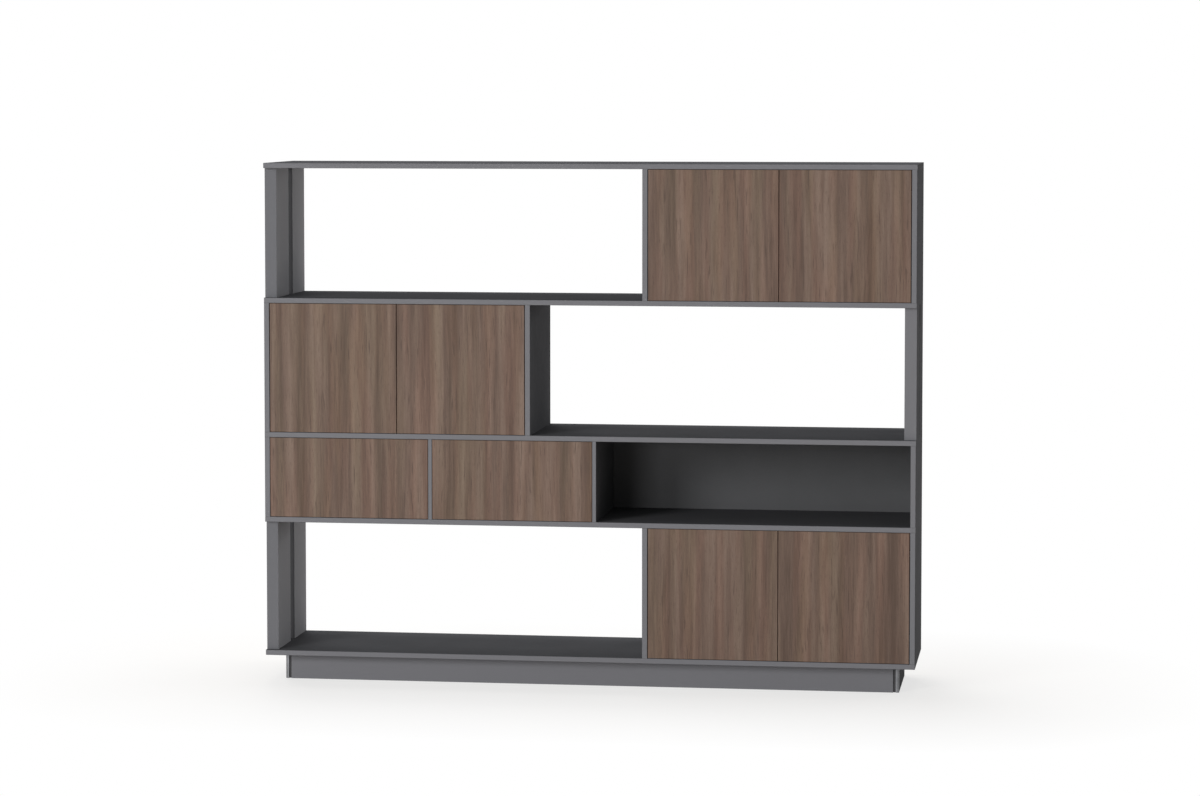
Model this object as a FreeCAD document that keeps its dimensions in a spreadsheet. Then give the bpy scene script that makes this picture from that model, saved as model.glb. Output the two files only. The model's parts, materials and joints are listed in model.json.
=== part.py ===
import FreeCAD, Part
import math
import os
import re

# Storage cabinet with open bays, three two-door cupboards, two drawers and a niche.
# Millimetres. +Z is up, the fronts face -Y, and the origin is the centre of the footprint on the floor.

SIZES = {
    # carcass
    "cabinet_width": 2000,
    "cabinet_depth": 400,
    "board_thickness": 16,
    "tall_row_height": 398,
    "low_row_height": 246,
    "cupboard_width": 828,
    "drawer_block_width": 1031,
    "drawer_divider_thickness": 12,
    "back_thickness": 9,
    "edge_bevel": 0.8,
    # posts at the open ends of the bays
    "post_width": 36,
    "post_front_setback": 18,
    "post_rear_setback": 2,
    "post_gap": 54,
    # plinth
    "plinth_height": 80,
    "plinth_side_inset": 50,
    "plinth_front_setback": 55,
    "plinth_rear_setback": 20,
    "plinth_rail_spacing": 620,
    "plinth_corner_face": 10,
    "plinth_corner_radius": 5,
    "plinth_groove_width": 8,
    "plinth_groove_depth": 6,
    "plinth_flange_length": 16,
    "plinth_flange_thickness": 2,
    # doors and drawer fronts
    "front_thickness": 16,
    "front_gap": 1,
    "door_meeting_gap": 2,
    "door_swing_clearance": 0.3,
    "door_opening_angle": 95,
    # concealed hinges
    "hinge_end_distance": 70,
    "hinge_pin_inset": 20,
    "hinge_pin_diameter": 2.5,
    "hinge_pin_clearance": 0.05,
    "hinge_eye_wall": 1,
    "hinge_cup_diameter": 35,
    "hinge_cup_edge": 5,
    "hinge_cup_depth": 11.7,
    "hinge_cup_wall": 0.8,
    "hinge_cup_clearance": 0.05,
    "hinge_cheek_clearance": 0.3,
    "hinge_slot_clearance": 0.8,
    "hinge_rim_width": 2,
    "hinge_rim_thickness": 1,
    "hinge_wing_spacing": 48,
    "hinge_wing_width": 12,
    "hinge_wing_bevel": 9,
    "hinge_arm_height": 12,
    "hinge_strip_thickness": 3,
    "hinge_neck_angle": 40,
    "hinge_neck_bend": 9,
    "hinge_neck_clearance": 2,
    "hinge_heel_bevel": 4,
    "hinge_body_start": 9,
    "hinge_body_length": 40,
    "hinge_body_rise": 6,
    "hinge_body_slope": 4,
    "hinge_plate_thickness": 1.5,
    "hinge_plate_width": 26,
    "hinge_plate_height": 50,
    "hinge_plate_bevel": 8,
    # push latches
    "latch_edge_distance": 45,
    "latch_width": 16,
    "latch_floor_wall": 3.4,
    "latch_corner_bevel": 3,
    "latch_end_wall": 17.7,
    "latch_axis_drop": 9,
    "latch_front_gap": 6,
    "latch_flange_width": 34,
    "latch_flange_thickness": 3,
    "latch_flange_length": 40,
    "plunger_width": 10,
    "plunger_height": 7,
    "plunger_length": 46,
    "plunger_travel": 3,
    "plunger_clearance": 0.1,
    "plunger_touch_gap": 0.3,
    "plunger_end_room": 1,
    "plunger_tip_bevel": 1.5,
    # drawers
    "drawer_floor_gap": 22,
    "drawer_top_clearance": 74,
    "drawer_rear_clearance": 35,
    "drawer_side_thickness": 12,
    "drawer_bottom_thickness": 6,
    "drawer_groove_height": 12,
    "drawer_groove_depth": 6,
    "drawer_groove_clearance": 0.1,
    # telescopic runners
    "runner_space": 12.7,
    "runner_height": 45,
    "runner_sheet": 1.2,
    "runner_clearance": 0.3,
    "runner_front_gap": 3,
    "runner_rear_gap": 36,
    "runner_centre_height": 62,
}

# Places worked out from the sizes, as formulas.
PLACES = {
    "end": "cabinet_width / 2",
    "end_inner": "end - board_thickness",
    "front": "-cabinet_depth / 2",
    "rear": "cabinet_depth / 2",
    "front_back": "front + front_thickness",
    "back_face": "rear - back_thickness",
    "lower_floor": "plinth_height + board_thickness",
    "lower_ceiling": "lower_floor + tall_row_height",
    "drawer_floor": "lower_ceiling + board_thickness",
    "drawer_ceiling": "drawer_floor + low_row_height",
    "middle_floor": "drawer_ceiling + board_thickness",
    "middle_ceiling": "middle_floor + tall_row_height",
    "upper_floor": "middle_ceiling + board_thickness",
    "upper_ceiling": "upper_floor + tall_row_height",
    "right_box": "end - cupboard_width",
    "left_box": "-end + cupboard_width",
    "niche_left": "-end + drawer_block_width",
    "niche_divider_side": "niche_left - drawer_divider_thickness",
    "post_depth": "(cabinet_depth - post_front_setback - post_rear_setback - post_gap) / 2",
    "post_front": "front + post_front_setback",
    "post_rear": "rear - post_rear_setback",
    "plinth_end": "end - plinth_side_inset",
    "plinth_front": "front + plinth_front_setback",
    "plinth_rear": "rear - plinth_rear_setback",
    "plinth_corner_size": "plinth_corner_face + plinth_groove_width",
    "hinge_pin_depth": "front_thickness / 2",
    "door_corner_reach": "sqrt(hinge_pin_inset ^ 2 + hinge_pin_depth ^ 2)",
    "door_side_gap": "door_corner_reach - hinge_pin_inset + door_swing_clearance",
    "door_width": "(cupboard_width - 2 * board_thickness - 2 * door_side_gap - door_meeting_gap) / 2",
    "door_height": "tall_row_height - 2 * front_gap",
    "hinge_height": "door_height / 2 - hinge_end_distance",
    "hinge_side": "door_side_gap + hinge_pin_inset",
    "hinge_cup_centre": "hinge_cup_edge + hinge_cup_diameter / 2 - hinge_pin_inset",
    "hinge_rim": "front_thickness - hinge_pin_depth",
    "hinge_cheek_face": "hinge_arm_height / 2 + hinge_cheek_clearance",
    "hinge_cup_floor": "hinge_rim - hinge_cup_depth",
    "hinge_neck_reach": "door_corner_reach + hinge_neck_clearance + hinge_strip_thickness / 2",
    "latch_face": "front_back + latch_front_gap",
    "plunger_depth": "plunger_length + plunger_touch_gap - latch_front_gap",
    "latch_bore_depth": "plunger_depth + plunger_travel + plunger_end_room",
    "latch_length": "latch_bore_depth + latch_end_wall",
    "latch_drop": "latch_axis_drop + plunger_height / 2 + plunger_clearance + latch_floor_wall",
    "bay_width": "(drawer_block_width - board_thickness - 2 * drawer_divider_thickness) / 2",
    "drawer_base": "drawer_floor + drawer_floor_gap",
    "drawer_side_height": "low_row_height - drawer_floor_gap - drawer_top_clearance",
    "drawer_side_length": "back_face - front_back - drawer_rear_clearance",
    "drawer_panel_low": "drawer_base + drawer_groove_height",
    "drawer_panel_high": "drawer_panel_low + drawer_bottom_thickness",
    "runner_axis": "drawer_base + runner_centre_height",
    "runner_face": "front_back + runner_front_gap",
    "runner_length": "back_face - runner_face - runner_rear_gap",
    "runner_step": "runner_sheet + runner_clearance",
}

V = FreeCAD.Vector
TINY = 1e-6
QUARTER_TURN = 90
HALF_TURN = FreeCAD.Rotation(V(0, 1, 0), 2 * QUARTER_TURN)
NO_TURN = FreeCAD.Rotation()

doc = FreeCAD.newDocument("storage_cabinet")
sheet = doc.addObject("Spreadsheet::Sheet", "Sizes")
for row, (name, number) in enumerate(SIZES.items(), 1):
    sheet.set(f"A{row}", name)
    sheet.set(f"B{row}", str(number))
    sheet.setAlias(f"B{row}", name)
doc.recompute()

nodes = {}


def formula(text):
    """Spell a formula of sizes and places out in cells of the sheet."""
    def spell(match):
        word = match.group(0)
        if word in PLACES:
            return "(" + formula(PLACES[word]) + ")"
        if word in SIZES:
            return "Sizes." + word
        return word
    return re.sub(r"[a-z][a-z_]*", spell, text)


def value(text):
    """The number that a formula comes to."""
    return float(sheet.evalExpression(formula(text)))


def keep(label, piece):
    """Name a finished sub-part and list it as a node."""
    piece.Label = label
    nodes[label] = piece
    return piece


def place(piece, x, y, z, turn=NO_TURN):
    """Set a piece down at a point given by three formulas."""
    piece.Placement = FreeCAD.Placement(V(0, 0, 0), turn)
    for axis, text in zip("xyz", (x, y, z)):
        piece.setExpression(f"Placement.Base.{axis}", formula(text))
    return piece


def copies(label, placements):
    """A node of separate solids: each placement is a master piece, its point and its turn."""
    links = []
    for number, (master, x, y, z, turn) in enumerate(placements, 1):
        link = doc.addObject("App::Link", f"{label}_{number}")
        link.LinkedObject = master
        links.append(place(link, x, y, z, turn))
    group = doc.addObject("Part::Compound", label)
    group.Links = links
    return keep(label, group)


def box(name, x, y, z):
    """A plain board between the low and high ends of three spans."""
    blank = doc.addObject("Part::Box", name)
    for size, (low, high) in zip(("Length", "Width", "Height"), (x, y, z)):
        blank.setExpression(size, formula(f"({high}) - ({low})"))
    return place(blank, x[0], y[0], z[0])


def front_edges(shape, along_x, along_z):
    """Numbers of the edges on a shape's front face that run along X, along Z or both."""
    front_line = shape.BoundBox.YMin + TINY
    chosen = []
    for number, edge in enumerate(shape.Edges, 1):
        span = edge.BoundBox
        runs = (along_x and span.XLength > TINY) or (along_z and span.ZLength > TINY)
        if span.YMax < front_line and runs:
            chosen.append(number)
    return chosen


def eased_board(label, x, y, z, along_x=False, along_z=False):
    """A board whose front edges are bevelled by the edge banding."""
    blank = box(label + "_blank", x, y, z)
    doc.recompute()
    bevel = value("edge_bevel")
    board = doc.addObject("Part::Chamfer", label)
    board.Base = blank
    board.Edges = [(number, bevel, bevel) for number in front_edges(blank.Shape, along_x, along_z)]
    return keep(label, board)


def new_body(name):
    return doc.addObject("PartDesign::Body", name)


def sketch_on(body, role, edges, offset="0"):
    """A sketch of edges on one of the body's own origin planes, moved along the plane's normal."""
    sketch = body.newObject("Sketcher::SketchObject", f"{body.Name}_sketch")
    origin_plane = [feature for feature in body.Origin.OriginFeatures if feature.Role == role][0]
    sketch.AttachmentSupport = [(origin_plane, "")]
    sketch.MapMode = "FlatFace"
    sketch.setExpression("AttachmentOffset.Base.z", formula(offset))
    sketch.addGeometry(edges, False)
    return sketch


def pad(body, sketch, length, both_ways=False, reverse=False):
    feature = body.newObject("PartDesign::Pad", f"{body.Name}_pad")
    feature.Profile = sketch
    feature.setExpression("Length", formula(length))
    feature.SideType = "Symmetric" if both_ways else "One side"
    feature.Reversed = reverse
    return feature


def pocket(body, sketch, length, both_ways=False, reverse=False):
    """Cut a pocket and make sure that it takes material away."""
    doc.recompute()
    volume_before = body.Shape.Volume
    feature = body.newObject("PartDesign::Pocket", f"{body.Name}_pocket")
    feature.Profile = sketch
    feature.setExpression("Length", formula(length))
    feature.SideType = "Symmetric" if both_ways else "One side"
    feature.Reversed = reverse
    doc.recompute()
    if body.Shape.Volume > volume_before - TINY:
        raise RuntimeError(f"{body.Name}: a pocket cuts nothing")
    return feature


def polygon(points):
    """Closed outline of straight lines."""
    corners = [V(x, y, 0) for x, y in points]
    return [Part.LineSegment(a, b) for a, b in zip(corners, corners[1:] + corners[:1])]


def rectangle(x_low, x_high, y_low, y_high):
    return polygon([(x_low, y_low), (x_high, y_low), (x_high, y_high), (x_low, y_high)])


def bevelled(x_low, x_high, y_low, y_high, bevel):
    """Rectangle with its four corners cut off."""
    return polygon([
        (x_low + bevel, y_low), (x_high - bevel, y_low), (x_high, y_low + bevel), (x_high, y_high - bevel),
        (x_high - bevel, y_high), (x_low + bevel, y_high), (x_low, y_high - bevel), (x_low, y_low + bevel),
    ])


def circle(x, y, radius):
    return Part.Circle(V(x, y, 0), V(0, 0, 1), radius)


def arc(centre, radius, start_degrees, end_degrees):
    """Counter-clockwise arc."""
    return Part.ArcOfCircle(circle(*centre, radius), math.radians(start_degrees), math.radians(end_degrees))


def line(start, end):
    return Part.LineSegment(V(*start, 0), V(*end, 0))


def carcass():
    """Horizontal boards, dividers, end boards and backs."""
    width = ("-end", "end")
    depth = ("front", "rear")
    inner_depth = ("front", "back_face")
    levels = {
        "bottom_board": "plinth_height",
        "lower_shelf": "lower_ceiling",
        "middle_shelf": "drawer_ceiling",
        "upper_shelf": "middle_ceiling",
        "top_board": "upper_ceiling",
    }
    for label, level in levels.items():
        eased_board(label, width, depth, (level, f"{level} + board_thickness"), along_x=True)

    uprights = {
        "upper_divider": ("right_box", depth, "upper"),
        "upper_end": ("end_inner", depth, "upper"),
        "middle_end": ("-end", depth, "middle"),
        "middle_divider": ("left_box - board_thickness", depth, "middle"),
        "lower_divider": ("right_box", depth, "lower"),
        "lower_end": ("end_inner", depth, "lower"),
        "drawer_row_end": ("-end", depth, "drawer"),
        "niche_end": ("end_inner", depth, "drawer"),
    }
    for label, (side, span, row_name) in uprights.items():
        height = (f"{row_name}_floor", f"{row_name}_ceiling")
        eased_board(label, (side, f"{side} + board_thickness"), span, height, along_z=True)

    thin_dividers = {
        "drawer_divider": "-end_inner + bay_width",
        "niche_divider": "niche_divider_side",
    }
    for label, side in thin_dividers.items():
        width = (side, f"{side} + drawer_divider_thickness")
        eased_board(label, width, inner_depth, ("drawer_floor", "drawer_ceiling"), along_z=True)

    backs = {
        "upper_back": ("right_box + board_thickness", "end_inner", "upper"),
        "middle_back": ("-end_inner", "left_box - board_thickness", "middle"),
        "drawer_row_back": ("-end_inner", "end_inner", "drawer"),
        "lower_back": ("right_box + board_thickness", "end_inner", "lower"),
    }
    for label, (low, high, row_name) in backs.items():
        height = (f"{row_name}_floor", f"{row_name}_ceiling")
        keep(label, box(label, (low, high), ("back_face", "rear"), height))


def posts():
    """Front and rear post at the open end of each bay."""
    ends = {
        "upper_left_posts": ("-end", "upper"),
        "middle_right_posts": ("end - post_width", "middle"),
        "lower_left_posts": ("-end", "lower"),
    }
    depths = {
        "front": ("post_front", "post_front + post_depth"),
        "rear": ("post_rear - post_depth", "post_rear"),
    }
    for label, (side, row_name) in ends.items():
        height = (f"{row_name}_floor", f"{row_name}_ceiling")
        width = (side, f"{side} + post_width")
        pair = [box(f"{label}_{name}", width, depth, height) for name, depth in depths.items()]
        group = doc.addObject("Part::Compound", label)
        group.Links = pair
        keep(label, group)


def plinth_corner():
    """Corner profile: rounded corner, a groove on both faces, and a flange behind each board."""
    face = value("plinth_corner_face")
    radius = value("plinth_corner_radius")
    groove = value("plinth_groove_depth")
    size = value("plinth_corner_size")
    board = value("board_thickness")
    flange = size + value("plinth_flange_length")
    inner = board + value("plinth_flange_thickness")
    body = new_body("plinth_corner_profile")
    outline = [
        (radius, 0), (face, 0), (face, groove), (size, groove), (size, board), (flange, board),
        (flange, inner), (inner, inner), (inner, flange), (board, flange), (board, size),
        (groove, size), (groove, face), (0, face), (0, radius),
    ]
    edges = [line(start, end) for start, end in zip(outline, outline[1:])]
    edges.append(arc((radius, radius), radius, 180, 270))
    pad(body, sketch_on(body, "XY_Plane", edges), "plinth_height")
    return body


def plinth():
    """Recessed plinth: front and rear boards, ends, cross rails and corner profiles."""
    height = ("0", "plinth_height")
    long_span = ("-plinth_end + plinth_corner_size", "plinth_end - plinth_corner_size")
    short_span = ("plinth_front + plinth_corner_size", "plinth_rear - plinth_corner_size")
    inner_span = ("plinth_front + board_thickness", "plinth_rear - board_thickness")
    front_span = ("plinth_front", inner_span[0])
    rear_span = (inner_span[1], "plinth_rear")
    keep("plinth_front", box("plinth_front", long_span, front_span, height))
    keep("plinth_rear", box("plinth_rear", long_span, rear_span, height))

    end_board = box("plinth_end_board", ("0", "board_thickness"), short_span, height)
    copies("plinth_ends", [
        (end_board, "-plinth_end", short_span[0], "0", NO_TURN),
        (end_board, "plinth_end - board_thickness", short_span[0], "0", NO_TURN),
    ])
    rail = box("plinth_cross_rail", ("0", "board_thickness"), inner_span, height)
    copies("plinth_rails", [
        (rail, f"{side} * plinth_rail_spacing / 2 - board_thickness / 2", inner_span[0], "0", NO_TURN)
        for side in ("-1", "1")
    ])
    corner = plinth_corner()
    corners = [("-plinth_end", "plinth_front"), ("plinth_end", "plinth_front"),
               ("plinth_end", "plinth_rear"), ("-plinth_end", "plinth_rear")]
    copies("plinth_corners", [
        (corner, x, y, "0", FreeCAD.Rotation(V(0, 0, 1), turns * QUARTER_TURN))
        for turns, (x, y) in enumerate(corners)
    ])


def ease_front(body, bevel="edge_bevel"):
    """Bevel the edges of a body's front face."""
    doc.recompute()
    solid = body.Tip
    chamfer = body.newObject("PartDesign::Chamfer", f"{body.Name}_easing")
    chamfer.Base = (solid, [f"Edge{number}" for number in front_edges(solid.Shape, True, True)])
    chamfer.setExpression("Size", formula(bevel))


def door(label):
    """Door leaf with its origin on the hinge axis at mid height, bored for two hinge cups."""
    width = value("door_width")
    half_height = value("door_height") / 2
    inset = value("hinge_pin_inset")
    body = new_body(label)
    leaf = rectangle(-inset, width - inset, -half_height, half_height)
    pad(body, sketch_on(body, "XZ_Plane", leaf, "hinge_pin_depth"), "front_thickness", reverse=True)
    ease_front(body)
    radius = value("hinge_cup_diameter / 2 + hinge_cup_clearance")
    centre = value("hinge_cup_centre")
    height = value("hinge_height")
    bores = [circle(centre, side * height, radius) for side in (-1, 1)]
    pocket(body, sketch_on(body, "XZ_Plane", bores, "-hinge_rim"), "hinge_cup_depth + hinge_cup_clearance",
           reverse=True)
    return keep(label, body)


def hinge_cup():
    """Cast cup: a round block let into the door, a screw plate on its rim and a slot for the arm."""
    radius = value("hinge_cup_diameter / 2")
    body = new_body("hinge_cup")
    block = [circle(0, 0, radius)]
    pad(body, sketch_on(body, "XZ_Plane", block, "-hinge_rim"), "hinge_cup_depth")
    plate_half = radius + value("hinge_rim_width")
    plate_end = value("hinge_wing_spacing / 2 + hinge_wing_width / 2")
    plate = bevelled(-plate_half, plate_half, -plate_end, plate_end, value("hinge_wing_bevel"))
    pad(body, sketch_on(body, "XZ_Plane", plate, "-hinge_rim"), "hinge_rim_thickness", reverse=True)
    pin_x = -value("hinge_cup_centre")
    open_angle = math.radians(value("hinge_neck_angle + door_opening_angle"))
    rest_angle = math.radians(value("hinge_neck_angle"))
    rim_top = value("hinge_rim + hinge_rim_thickness")
    half_strip = value("hinge_strip_thickness / 2")
    room = value("hinge_slot_clearance")
    slot_high = pin_x + rim_top / math.tan(rest_angle) + half_strip / math.sin(rest_angle) + room
    slot_low = pin_x + rim_top / math.tan(open_angle) - half_strip / math.sin(open_angle) - room
    half_slot = value("hinge_cheek_face")
    outline = rectangle(slot_low, slot_high, -half_slot, half_slot)
    slot = sketch_on(body, "XZ_Plane", outline, "-hinge_rim - hinge_rim_thickness")
    pocket(body, slot, "hinge_cup_depth + hinge_rim_thickness - hinge_cup_wall", reverse=True)
    return body


def hinge_pin():
    """Pin between the two cheeks of the cup's slot."""
    body = new_body("hinge_pin")
    section = [circle(0, 0, value("hinge_pin_diameter / 2"))]
    pad(body, sketch_on(body, "XY_Plane", section), "2 * hinge_cheek_face", both_ways=True)
    return body


def hinge_arm():
    """Goose-neck arm: an eye on the pin, a neck round the door's edge, a heel and a raised arm body."""
    half = value("hinge_strip_thickness / 2")
    eye_bore = value("hinge_pin_diameter / 2 + hinge_pin_clearance")
    eye = eye_bore + value("hinge_eye_wall")
    bend = value("hinge_neck_bend")
    heel = value("hinge_heel_bevel")
    reach = value("hinge_neck_reach")
    degrees = value("hinge_neck_angle")
    angle = math.radians(degrees)
    along = (math.cos(angle), math.sin(angle))

    def beside(distance, offset):
        """Point at a distance along the neck's first run and an offset to its left."""
        return (distance * along[0] - offset * along[1], distance * along[1] + offset * along[0])

    neck_end = (reach - bend * (1 + along[0])) / along[1]
    neck = beside(neck_end, bend)
    tail = value("hinge_plate_thickness + hinge_strip_thickness / 2 - hinge_side")
    body_start = reach + value("hinge_body_start")
    body_end = body_start + value("hinge_body_length")
    crest = tail + half + value("hinge_body_rise")
    slope = value("hinge_body_slope")
    eye_angle = math.degrees(math.asin(half / eye))
    eye_run = math.sqrt(eye ** 2 - half ** 2)
    edges = [
        arc((0, 0), eye, degrees + eye_angle, degrees + 360 - eye_angle),
        line(beside(eye_run, -half), beside(neck_end, -half)),
        arc(neck, bend + half, degrees - 90, 90),
        line((neck[0], reach + half), (tail + half, reach + half)),
        line((tail + half, reach + half), (tail + half, body_start)),
        line((tail + half, body_start), (crest, body_start + slope)),
        line((crest, body_start + slope), (crest, body_end - slope)),
        line((crest, body_end - slope), (tail + half, body_end)),
        line((tail + half, body_end), (tail - half, body_end)),
        line((tail - half, body_end), (tail - half, reach - half + heel)),
        line((tail - half, reach - half + heel), (tail - half + heel, reach - half)),
        line((tail - half + heel, reach - half), (neck[0], reach - half)),
        arc(neck, bend - half, degrees - 90, 90),
        line(beside(neck_end, half), beside(eye_run, half)),
        circle(0, 0, eye_bore),
    ]
    body = new_body("hinge_arm")
    pad(body, sketch_on(body, "XY_Plane", edges), "hinge_arm_height", both_ways=True)
    return body


def hinge_plate():
    """Mounting plate on the side board, centred under the arm body."""
    half_width = value("hinge_plate_width / 2")
    half_height = value("hinge_plate_height / 2")
    centre = value("hinge_neck_reach + hinge_body_start + hinge_body_length / 2")
    outline = bevelled(centre - half_width, centre + half_width, -half_height, half_height,
                       value("hinge_plate_bevel"))
    body = new_body("hinge_plate")
    pad(body, sketch_on(body, "YZ_Plane", outline, "-hinge_side"), "hinge_plate_thickness")
    return body


def latch_housing():
    """Latch body under a board, its origin on the board above the bore's mouth."""
    half = value("latch_width / 2")
    drop = value("latch_drop")
    bevel = value("latch_corner_bevel")
    flange = value("latch_flange_width / 2")
    body = new_body("latch_housing")
    outline = [(-half, 0), (-half, bevel - drop), (bevel - half, -drop), (half - bevel, -drop),
               (half, bevel - drop), (half, 0)]
    pad(body, sketch_on(body, "XZ_Plane", polygon(outline)), "latch_length", reverse=True)
    ears = rectangle(-flange, flange, -value("latch_flange_thickness"), 0)
    ear_start = "-(latch_length - latch_flange_length) / 2"
    pad(body, sketch_on(body, "XZ_Plane", ears, ear_start), "latch_flange_length", reverse=True)
    axis = -value("latch_axis_drop")
    half_bore = value("plunger_width / 2 + plunger_clearance")
    half_height = value("plunger_height / 2 + plunger_clearance")
    bore = rectangle(-half_bore, half_bore, axis - half_height, axis + half_height)
    pocket(body, sketch_on(body, "XZ_Plane", bore), "latch_bore_depth")
    return body


def plunger(label):
    """Latch plunger along Y with a bevelled tip, its origin in the middle of the tip."""
    half_width = value("plunger_width / 2")
    half_height = value("plunger_height / 2")
    body = new_body(label)
    section = rectangle(-half_width, half_width, -half_height, half_height)
    pad(body, sketch_on(body, "XZ_Plane", section), "plunger_length", reverse=True)
    ease_front(body, "plunger_tip_bevel")
    return keep(label, body)


def cupboard_fittings():
    """Doors, hinges and push latches of the three cupboards."""
    cup = hinge_cup()
    pin = hinge_pin()
    arm = hinge_arm()
    plate = hinge_plate()
    housing = latch_housing()
    inner_sides = {
        "upper": ("right_box + board_thickness", "end_inner"),
        "middle": ("-end_inner", "left_box - board_thickness"),
        "lower": ("right_box + board_thickness", "end_inner"),
    }
    arms = []
    plates = []
    housings = []
    pin_y = "front + hinge_pin_depth"
    for row_name, (low, high) in inner_sides.items():
        middle = f"({row_name}_floor + {row_name}_ceiling) / 2"
        ceiling = f"{row_name}_ceiling"
        meeting = f"({low} + {high}) / 2"
        hands = {
            "left": (f"{low} + hinge_side", NO_TURN, f"{meeting} - latch_edge_distance"),
            "right": (f"{high} - hinge_side", HALF_TURN, f"{meeting} + latch_edge_distance"),
        }
        for hand, (pin_x, turn, latch_x) in hands.items():
            name = f"{row_name}_{hand}"
            mirror = "-1" if hand == "right" else "1"
            place(door(f"{name}_door"), pin_x, pin_y, middle, turn)
            heights = [f"{middle} - hinge_height", f"{middle} + hinge_height"]
            cup_x = f"{pin_x} + {mirror} * hinge_cup_centre"
            copies(f"{name}_hinge_cups", [(cup, cup_x, pin_y, height, turn) for height in heights]
                   + [(pin, pin_x, pin_y, height, turn) for height in heights])
            arms += [(arm, pin_x, pin_y, height, turn) for height in heights]
            plates += [(plate, pin_x, pin_y, height, turn) for height in heights]
            housings.append((housing, latch_x, "latch_face", ceiling, NO_TURN))
            place(plunger(f"{name}_plunger"), latch_x, "front_back + plunger_touch_gap",
                  f"{ceiling} - latch_axis_drop")
    copies("hinge_arms", arms)
    copies("hinge_plates", plates)
    copies("latch_housings", housings)


def drawer_front(label, low, high):
    """Drawer front between the sides of its bay, seen from its lower left front corner."""
    width = value(f"{high} - ({low}) - 2 * front_gap")
    height = value("low_row_height - 2 * front_gap")
    body = new_body(label)
    pad(body, sketch_on(body, "XZ_Plane", rectangle(0, width, 0, height)), "front_thickness", reverse=True)
    ease_front(body)
    place(body, f"{low} + front_gap", "front", "drawer_floor + front_gap")
    return keep(label, body)


def drawer_side():
    """Left side of a drawer box, with a groove for the bottom in its inner face."""
    thickness = value("drawer_side_thickness")
    height = value("drawer_side_height")
    groove_low = value("drawer_groove_height - drawer_groove_clearance")
    groove_high = value("drawer_groove_height + drawer_bottom_thickness + drawer_groove_clearance")
    groove_face = thickness - value("drawer_groove_depth")
    body = new_body("drawer_side")
    section = [
        (0, 0), (thickness, 0), (thickness, groove_low), (groove_face, groove_low),
        (groove_face, groove_high), (thickness, groove_high), (thickness, height), (0, height),
    ]
    pad(body, sketch_on(body, "XZ_Plane", polygon(section)), "drawer_side_length", reverse=True)
    return body


def runner_member(name, web_low, web_high, lip_low, lip_high, half_height):
    """Channel of bent sheet along Y: a web and a lip at the top and the bottom."""
    sheet_thickness = value("runner_sheet")
    inner = half_height - sheet_thickness
    body = new_body(name)
    if web_low > lip_low:
        section = [(web_high, half_height), (lip_low, half_height), (lip_low, inner), (web_low, inner),
                   (web_low, -inner), (lip_low, -inner), (lip_low, -half_height), (web_high, -half_height)]
    else:
        section = [(web_low, half_height), (web_low, -half_height), (lip_high, -half_height),
                   (lip_high, -inner), (web_high, -inner), (web_high, inner), (lip_high, inner),
                   (lip_high, half_height)]
    pad(body, sketch_on(body, "XZ_Plane", polygon(section)), "runner_length", reverse=True)
    return body


def runner_members():
    """Outer, middle and inner channels, nested, with X from the side board towards the drawer."""
    sheet_thickness = value("runner_sheet")
    clearance = value("runner_clearance")
    step = value("runner_step")
    space = value("runner_space")
    half = value("runner_height / 2")
    lip = space - step
    outer = runner_member("runner_outer", 0, sheet_thickness, 0, lip, half)
    middle = runner_member("runner_middle", step, step + sheet_thickness, step, lip, half - step)
    inner_lip = 2 * step + clearance
    inner = runner_member("runner_inner", space - sheet_thickness, space, inner_lip, space, half - 2 * step)
    return outer, middle, inner


def drawers():
    """Two drawers side by side on telescopic runners."""
    side = drawer_side()
    outer, middle, inner = runner_members()
    bays = {
        "left": ("-end_inner", "-end_inner + bay_width"),
        "right": ("niche_divider_side - bay_width", "niche_divider_side"),
    }
    outers = []
    for hand, (low, high) in bays.items():
        name = f"{hand}_drawer"
        drawer_front(f"{name}_front", low, high)
        box_low = f"{low} + runner_space"
        box_high = f"{high} - runner_space"
        rear_face = "front_back + drawer_side_length"
        back_width = (f"{box_low} + drawer_side_thickness", f"{box_high} - drawer_side_thickness")
        back_depth = (f"{rear_face} - drawer_side_thickness", rear_face)
        back = box(f"{name}_back", back_width, back_depth,
                   ("drawer_panel_high", "drawer_base + drawer_side_height"))
        mirrored_side = doc.addObject("Part::Mirroring", f"{name}_right_side_blank")
        mirrored_side.Source = side
        mirrored_side.Normal = V(1, 0, 0)
        links = []
        for number, (piece, x) in enumerate(((side, box_low), (mirrored_side, box_high)), 1):
            link = doc.addObject("App::Link", f"{name}_side_{number}")
            link.LinkedObject = piece
            links.append(place(link, x, "front_back", "drawer_base"))
        shell = doc.addObject("Part::Compound", f"{name}_box")
        shell.Links = links + [back]
        keep(f"{name}_box", shell)

        tongue = "drawer_side_thickness - drawer_groove_depth + drawer_groove_clearance"
        panel = box(f"{name}_bottom", (f"{box_low} + {tongue}", f"{box_high} - ({tongue})"),
                    ("front_back", rear_face), ("drawer_panel_low", "drawer_panel_high"))
        keep(f"{name}_bottom", panel)

        hands = ((low, NO_TURN), (high, HALF_TURN))
        spots = [(x, "runner_face", "runner_axis", turn) for x, turn in hands]
        outers += [(outer, *spot) for spot in spots]
        copies(f"{name}_middle_runners", [(middle, *spot) for spot in spots])
        copies(f"{name}_inner_runners", [(inner, *spot) for spot in spots])
    copies("outer_runners", outers)


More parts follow.
